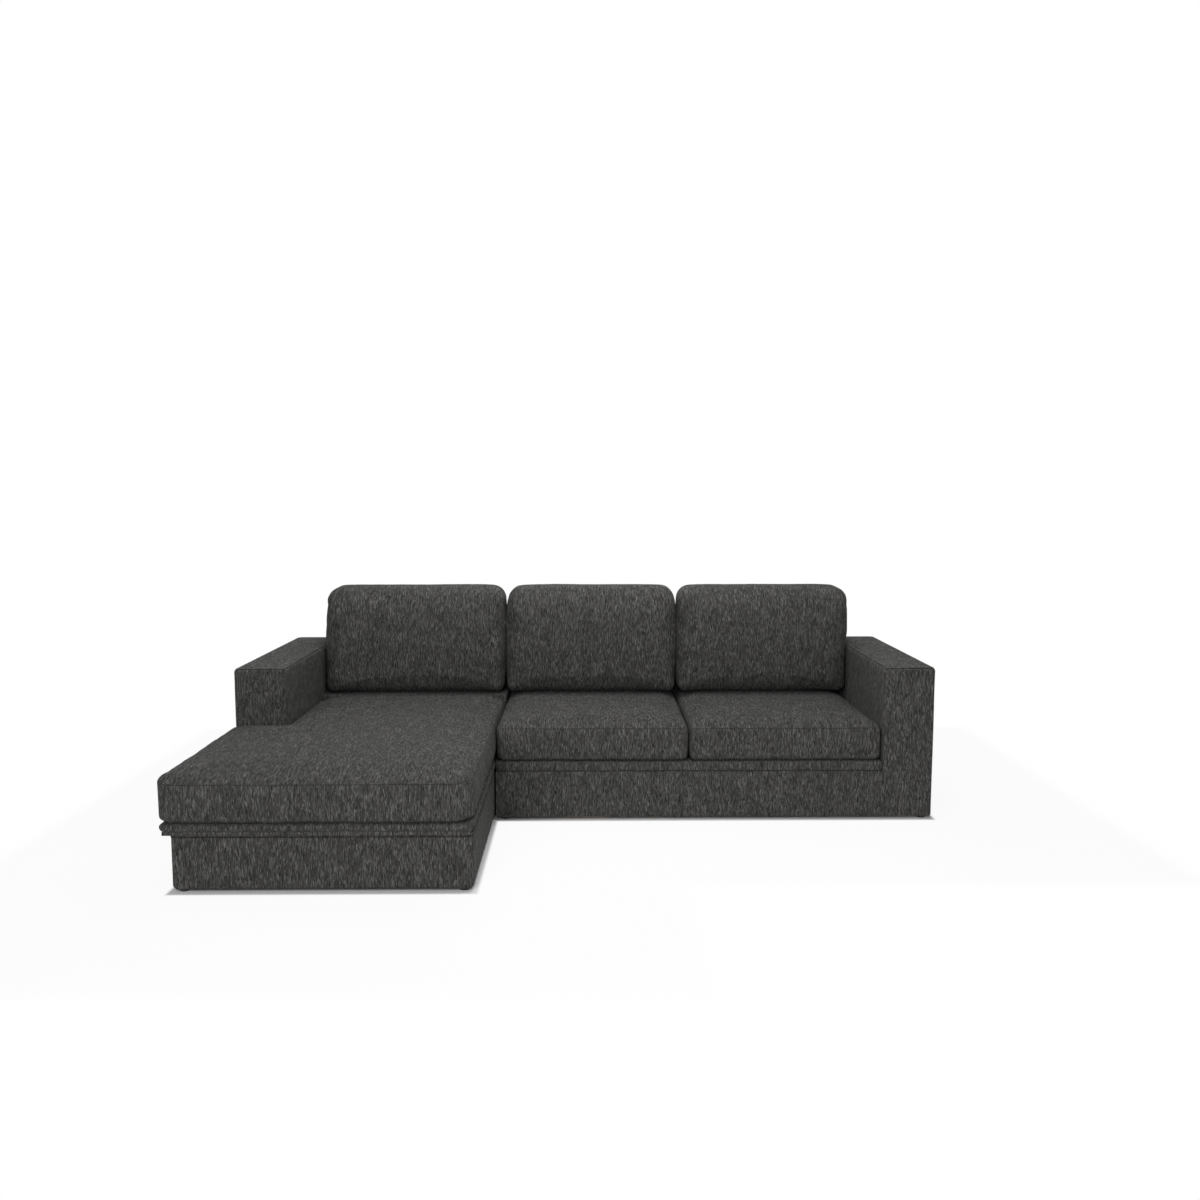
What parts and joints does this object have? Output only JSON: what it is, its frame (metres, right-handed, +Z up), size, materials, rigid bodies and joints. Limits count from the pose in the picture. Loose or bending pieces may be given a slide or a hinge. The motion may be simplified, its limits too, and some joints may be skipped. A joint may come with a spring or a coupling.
{
  "type": "sectional sofa",
  "caption": "Sectional sofa in dark woven fabric with a storage chaise, wide box arms, padded base and loose back and seat cushions; the chaise lid lifts on a strut-assisted linkage.",
  "frame": {"origin": "on the floor under the middle of the sofa's box", "axes": "+X to the right along the width, +Y to the back, +Z up; the chaise reaches towards -Y on the -X side"},
  "size_m": [2.8, 1.72, 0.897],
  "materials": {
    "upholstery": "dark charcoal woven tweed, matt",
    "board_wood": "raw particle board and plywood",
    "rail_wood": "planed softwood",
    "foam": "cream polyurethane foam",
    "fibre": "white polyester fibre",
    "spring_wire": "plain spring steel",
    "clip_steel": "zinc plated",
    "link_steel": "black powder coat",
    "strut_paint": "gloss black",
    "strut_chrome": "polished",
    "foot_plastic": "black",
    "dust_cloth": "thin black non-woven"
  },
  "bodies": {
    "sofa": {"left_arm_outer_cover": "upholstery", "left_arm_inner_cover": "upholstery", "left_arm_top_cover": "upholstery", "left_arm_front_cover": "upholstery", "right_arm_outer_cover": "upholstery", "right_arm_inner_cover": "upholstery", "right_arm_top_cover": "upholstery", "loveseat_front_cover": "upholstery", "chaise_back_cover": "upholstery", "chaise_rear_cover": "upholstery", "loveseat_back_cover": "upholstery", "loveseat_rear_cover": "upholstery", "chaise_rear_ledge": "upholstery", "box_cover": "upholstery", "seat_deck_pad": "upholstery", "left_arm_end_boards": "board_wood", "left_arm_top_board": "board_wood", "right_arm_end_boards": "board_wood", "right_arm_top_board": "board_wood", "chaise_back_posts": "board_wood", "chaise_back_top_rail": "board_wood", "loveseat_back_posts": "board_wood", "loveseat_back_top_rail": "board_wood", "box_front_panel": "board_wood", "box_left_panel": "board_wood", "box_return_panel": "board_wood", "box_arm_side_panel": "board_wood", "box_right_panel": "board_wood", "box_rear_panel": "board_wood", "box_floor": "board_wood", "seat_front_rail": "rail_wood", "seat_rear_rail": "rail_wood", "seat_side_rails": "rail_wood", "corner_blocks": "rail_wood", "seat_springs": "spring_wire", "spring_clips": "clip_steel", "sectional_connectors": "clip_steel", "lift_base_brackets": "link_steel", "feet": "foot_plastic", "dust_cover": "dust_cloth"},
    "lid": {"lid_board": "board_wood", "lid_cover": "upholstery", "chaise_cushion_cover": "upholstery", "chaise_cushion_foam": "foam", "lift_lid_brackets": "link_steel"},
    "main_links": {"lift_main_links": "link_steel"},
    "second_links": {"lift_second_links": "link_steel"},
    "strut_tubes": {"lift_strut_tubes": "strut_paint"},
    "strut_rods": {"lift_strut_rods": "strut_chrome"},
    "left_seat_cushion": {"left_seat_cushion_cover": "upholstery", "left_seat_cushion_foam": "foam"},
    "right_seat_cushion": {"right_seat_cushion_cover": "upholstery", "right_seat_cushion_foam": "foam"},
    "left_back_cushion": {"left_back_cushion_cover": "upholstery", "left_back_cushion_fibre": "fibre"},
    "middle_back_cushion": {"middle_back_cushion_cover": "upholstery", "middle_back_cushion_fibre": "fibre"},
    "right_back_cushion": {"right_back_cushion_cover": "upholstery", "right_back_cushion_fibre": "fibre"}
  },
  "joints": [
    {"name": "main_link_swing", "type": "hinge", "parent": "sofa", "child": "main_links", "pos_m": [0, 0.09, 0.065], "axis": [1, 0, 0], "range_deg": [0, 58]},
    {"name": "lid_lift", "type": "hinge", "parent": "main_links", "child": "lid", "pos_m": [0, 0.41, 0.185], "axis": [-1, 0, 0], "range_deg": [0, 88]},
    {"name": "second_link_swing", "type": "hinge", "parent": "sofa", "child": "second_links", "pos_m": [0, 0.0184, 0.0591], "axis": [1, 0, 0], "range_deg": [0, 55.4]},
    {"name": "strut_swing", "type": "hinge", "parent": "sofa", "child": "strut_tubes", "pos_m": [0, 0.122, 0.056], "axis": [1, 0, 0], "range_deg": [0, 61.8]},
    {"name": "strut_stroke", "type": "slide", "parent": "strut_tubes", "child": "strut_rods", "axis": [0, 0.8888, 0.4583], "range_m": [0, 0.0302]},
    {"name": "left_seat_cushion_draw", "type": "slide", "parent": "sofa", "child": "left_seat_cushion", "axis": [0, -1, 0], "range_m": [0, 0.4]},
    {"name": "right_seat_cushion_draw", "type": "slide", "parent": "sofa", "child": "right_seat_cushion", "axis": [0, -1, 0], "range_m": [0, 0.4]},
    {"name": "left_back_cushion_lift", "type": "slide", "parent": "sofa", "child": "left_back_cushion", "axis": [0, 0, 1], "range_m": [0, 0.35]},
    {"name": "middle_back_cushion_lift", "type": "slide", "parent": "sofa", "child": "middle_back_cushion", "axis": [0, 0, 1], "range_m": [0, 0.35]},
    {"name": "right_back_cushion_lift", "type": "slide", "parent": "sofa", "child": "right_back_cushion", "axis": [0, 0, 1], "range_m": [0, 0.35]}
  ],
  "couplings": [
    {"joint": "main_link_swing", "follows": "lid_lift", "ratio": 0.65909},
    {"joint": "second_link_swing", "follows": "lid_lift", "ratio": 0.62883},
    {"joint": "strut_swing", "follows": "lid_lift", "ratio": 0.70193},
    {"joint": "strut_stroke", "follows": "lid_lift", "m_per_rad": 0.019608}
  ]
}
